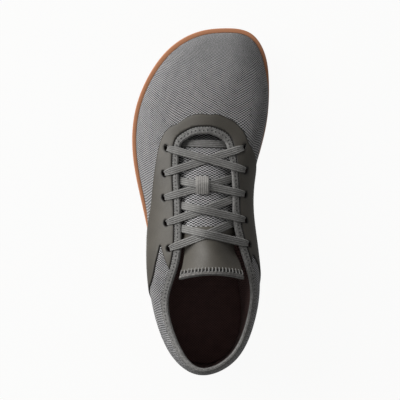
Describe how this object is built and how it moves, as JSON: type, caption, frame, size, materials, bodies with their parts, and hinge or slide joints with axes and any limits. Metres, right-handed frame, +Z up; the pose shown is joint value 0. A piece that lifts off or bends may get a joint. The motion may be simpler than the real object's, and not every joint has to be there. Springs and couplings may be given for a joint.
{
  "type": "barefoot shoe",
  "caption": "Low left shoe with a knitted upper, smooth eyestay, flat lace and a thin, wide cup sole for barefoot walking and training.",
  "frame": {"origin": "middle of the shoe's box, on the floor it stands on", "axes": "+Z up, +Y from heel to toe, +X towards the inner side of the foot"},
  "size_m": [0.1114, 0.2786, 0.0902],
  "materials": {
    "gum_rubber": "matte gum rubber, orange-brown",
    "knit": "mottled grey knit",
    "smooth_overlay": "smooth dark taupe microfibre",
    "tape": "light grey knitted tape",
    "lining": "black brushed lining",
    "lace": "flat grey woven lace"
  },
  "bodies": {
    "root": {"outsole": "gum_rubber", "insole": "lining", "upper": "knit", "eyestay": "smooth_overlay", "collar_binding": "tape", "tongue": "knit", "tongue_patch": "smooth_overlay", "tongue_binding": "tape", "lace_keeper": "tape", "lace_bar": "lace", "lace_cross_1": "lace", "lace_cross_2": "lace", "lace_cross_3": "lace", "lace_cross_4": "lace"}
  },
  "joints": []
}
